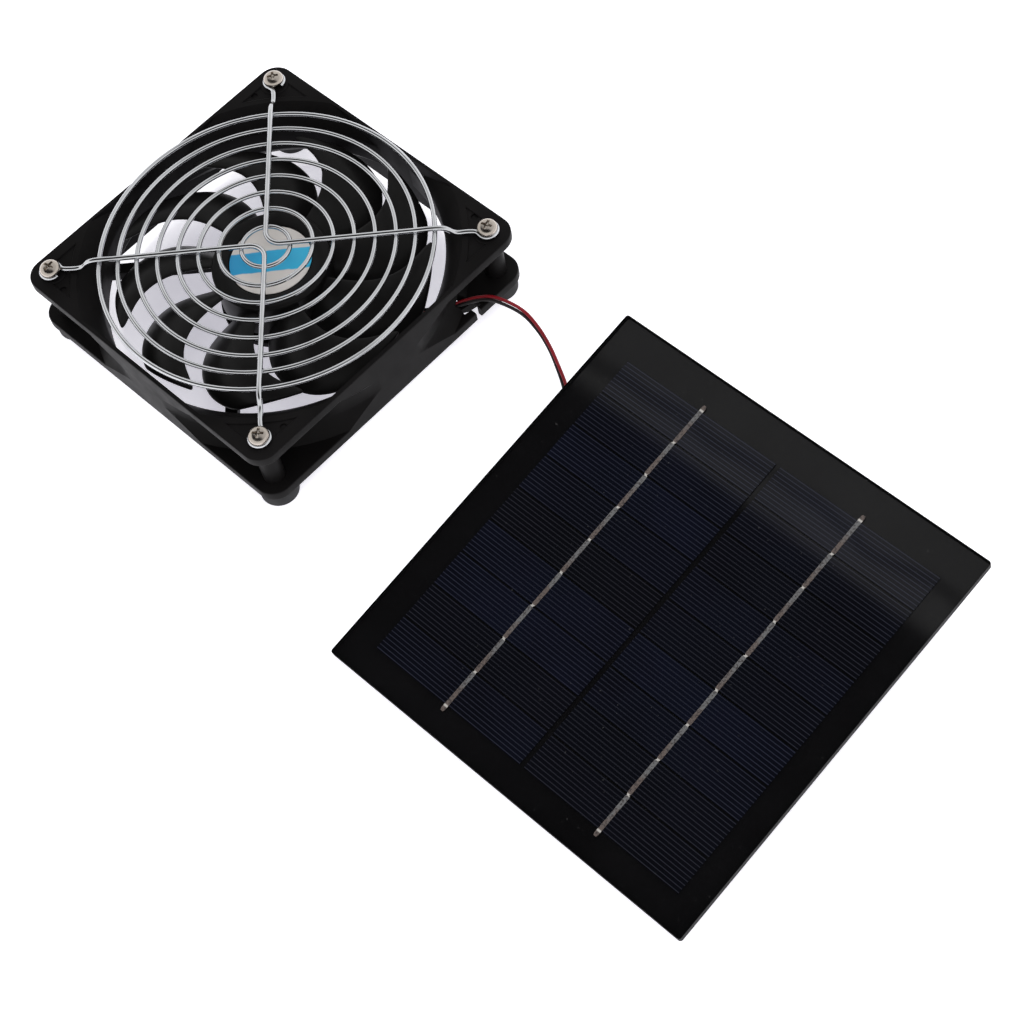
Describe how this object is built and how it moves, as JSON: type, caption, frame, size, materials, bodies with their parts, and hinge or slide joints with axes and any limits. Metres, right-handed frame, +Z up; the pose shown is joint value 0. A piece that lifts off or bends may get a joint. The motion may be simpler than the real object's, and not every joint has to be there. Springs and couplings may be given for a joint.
{
  "type": "solar attic fan",
  "caption": "Square axial fan on feet under a wire finger guard, fed through a red and black twin lead by a small tilted solar panel.",
  "frame": {"origin": "on the table, under the middle of the fan and panel taken together, the lead left out", "axes": "+X from the fan to the panel, +Y up the panel's slope, +Z up and along the fan's axis"},
  "size_m": [0.3148, 0.1448, 0.0365],
  "materials": {
    "frame_plastic": "satin moulded black",
    "blade_plastic": "semi-gloss moulded black",
    "front_label": "coated paper with a blank blue band",
    "rear_label": "coated paper, blank",
    "steel": "plain",
    "ferrite": "dull moulded magnet",
    "copper": "enamelled copper wire",
    "circuit_board": "green solder mask",
    "chrome_wire": "bright plated wire",
    "screw_nickel": "bright nickel plate",
    "foot_rubber": "matt",
    "red_pvc": "soft satin",
    "black_pvc": "soft satin",
    "tie_plastic": "nylon",
    "panel_board": "black laminate",
    "panel_film": "clear glossy film over black",
    "cell": "dark blue silicon with fine printed fingers",
    "ribbon": "tinned copper ribbon",
    "box_plastic": "satin moulded black",
    "diode": "moulded, with tinned legs",
    "gland_rubber": "matt"
  },
  "bodies": {
    "set": {"fan_frame": "frame_plastic", "rear_label": "rear_label", "lower_bearing": "steel", "upper_bearing": "steel", "stator_core": "steel", "stator_winding": "copper", "motor_board": "circuit_board", "wire_guard": "chrome_wire", "red_lead": "red_pvc", "black_lead": "black_pvc", "red_lead_coil": "red_pvc", "black_lead_coil": "black_pvc", "red_lead_end": "red_pvc", "black_lead_end": "black_pvc", "lead_tie": "tie_plastic", "panel_board": "panel_board", "panel_film": "panel_film", "ribbon_left": "ribbon", "ribbon_right": "ribbon", "box_base": "box_plastic", "box_lid": "box_plastic", "diode": "diode", "lead_gland": "gland_rubber", "guard_screw_1": "screw_nickel", "foot_1": "foot_rubber", "foot_screw_1": "screw_nickel", "guard_screw_2": "screw_nickel", "foot_2": "foot_rubber", "foot_screw_2": "screw_nickel", "guard_screw_3": "screw_nickel", "foot_3": "foot_rubber", "foot_screw_3": "screw_nickel", "guard_screw_4": "screw_nickel", "foot_4": "foot_rubber", "foot_screw_4": "screw_nickel", "cell_1": "cell", "cell_2": "cell", "cell_3": "cell", "cell_4": "cell", "cell_5": "cell", "cell_6": "cell", "cell_7": "cell", "cell_8": "cell", "cell_9": "cell", "cell_10": "cell", "cell_11": "cell", "cell_12": "cell", "cell_13": "cell", "cell_14": "cell", "cell_15": "cell", "cell_16": "cell", "cell_17": "cell", "cell_18": "cell"},
    "rotor": {"impeller": "blade_plastic", "hub_label": "front_label", "rotor_yoke": "steel", "rotor_magnet": "ferrite", "shaft": "steel", "retaining_clip": "steel", "thrust_washer": "steel"}
  },
  "joints": [
    {"name": "rotor_spin", "type": "hinge", "parent": "set", "child": "rotor", "pos_m": [-0.0974, 0.0116, 0.018], "axis": [0, 0, 1], "continuous": true}
  ]
}
